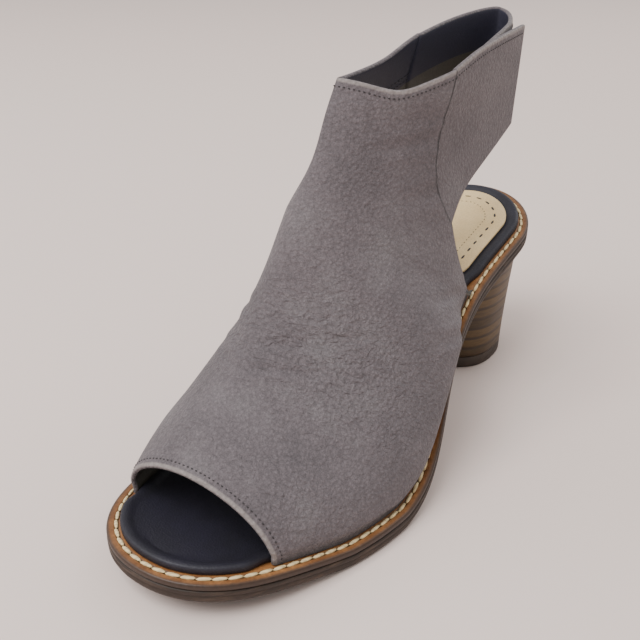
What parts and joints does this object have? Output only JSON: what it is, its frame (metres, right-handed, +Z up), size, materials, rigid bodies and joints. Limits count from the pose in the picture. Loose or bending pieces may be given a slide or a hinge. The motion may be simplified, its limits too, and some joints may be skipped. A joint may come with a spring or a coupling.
{
  "type": "ankle strap heeled sandal",
  "caption": "Open-toed, open-backed leather sandal with a high instep, a hook-and-loop ankle strap, a stitched welt and a round stacked heel.",
  "frame": {"origin": "centre of the heel tip's flat underside, on the floor", "axes": "+X towards the toe, +Y towards the outer side of this left shoe, +Z up"},
  "size_m": [0.236, 0.0939, 0.1543],
  "materials": {
    "upper": "grey nubuck, matt",
    "hook_and_loop_pad": "black hook-and-loop tape",
    "outsole": "worn brown",
    "welt": "tan, stitched",
    "footbed": "navy lining leather",
    "heel_sock": "tan, bare",
    "heel_block": "stacked layers, waxed",
    "heel_tip": "dark, matt"
  },
  "bodies": {
    "root": {"upper": "upper", "hook_and_loop_pad": "hook_and_loop_pad", "outsole": "outsole", "welt": "welt", "footbed": "footbed", "heel_sock": "heel_sock", "heel_block": "heel_block", "heel_tip": "heel_tip"}
  },
  "joints": []
}
